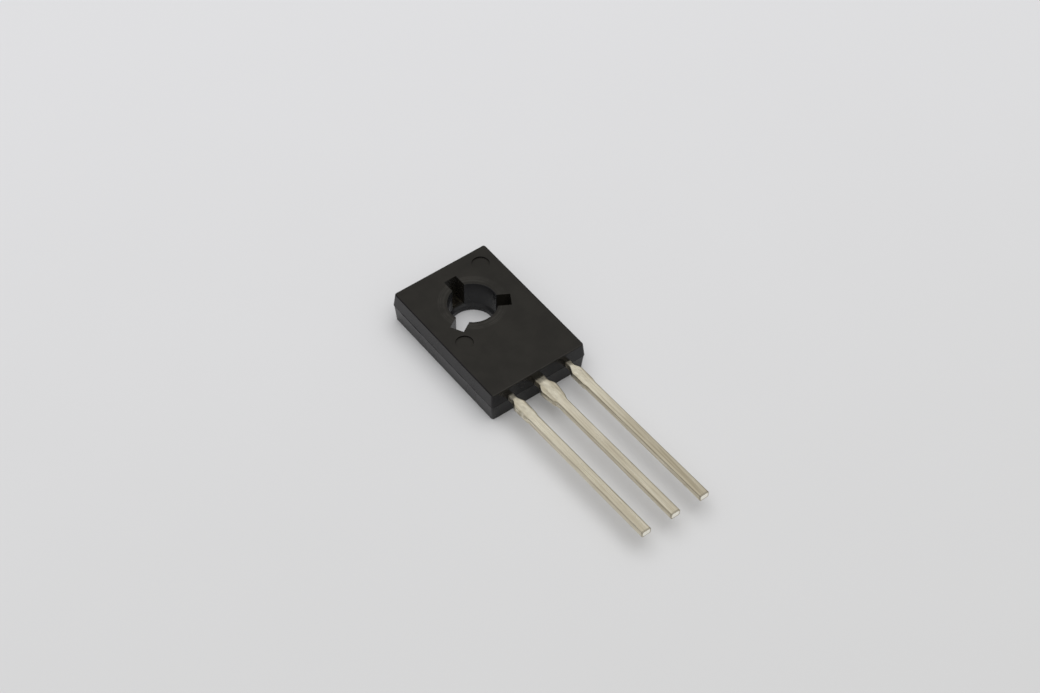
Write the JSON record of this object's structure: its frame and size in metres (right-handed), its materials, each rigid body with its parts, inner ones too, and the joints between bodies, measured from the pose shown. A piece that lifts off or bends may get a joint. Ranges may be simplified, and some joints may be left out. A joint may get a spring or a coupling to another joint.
{
  "type": "bipolar transistor",
  "caption": "Three-lead power transistor in a flat moulded package with a screw hole, a metal back plate and straight flat leads.",
  "frame": {"origin": "centre of the screw hole on the back face", "axes": "+Z out of the front face, +Y along the body towards the end with the hole, so the leads point along -Y, and +X across the body from the emitter lead to the base lead"},
  "size_m": [0.0074, 0.0244, 0.0025],
  "materials": {
    "moulding": "satin, moulded epoxy",
    "tinned_copper": "satin tin plating",
    "silicon": "polished",
    "solder": "dull",
    "bond_wire": "satin"
  },
  "bodies": {
    "root": {"moulded_body": "moulding", "collector_frame": "tinned_copper", "emitter_lead": "tinned_copper", "base_lead": "tinned_copper", "silicon_die": "silicon", "die_solder": "solder", "emitter_bond_wire": "bond_wire", "base_bond_wire": "bond_wire"}
  },
  "joints": []
}
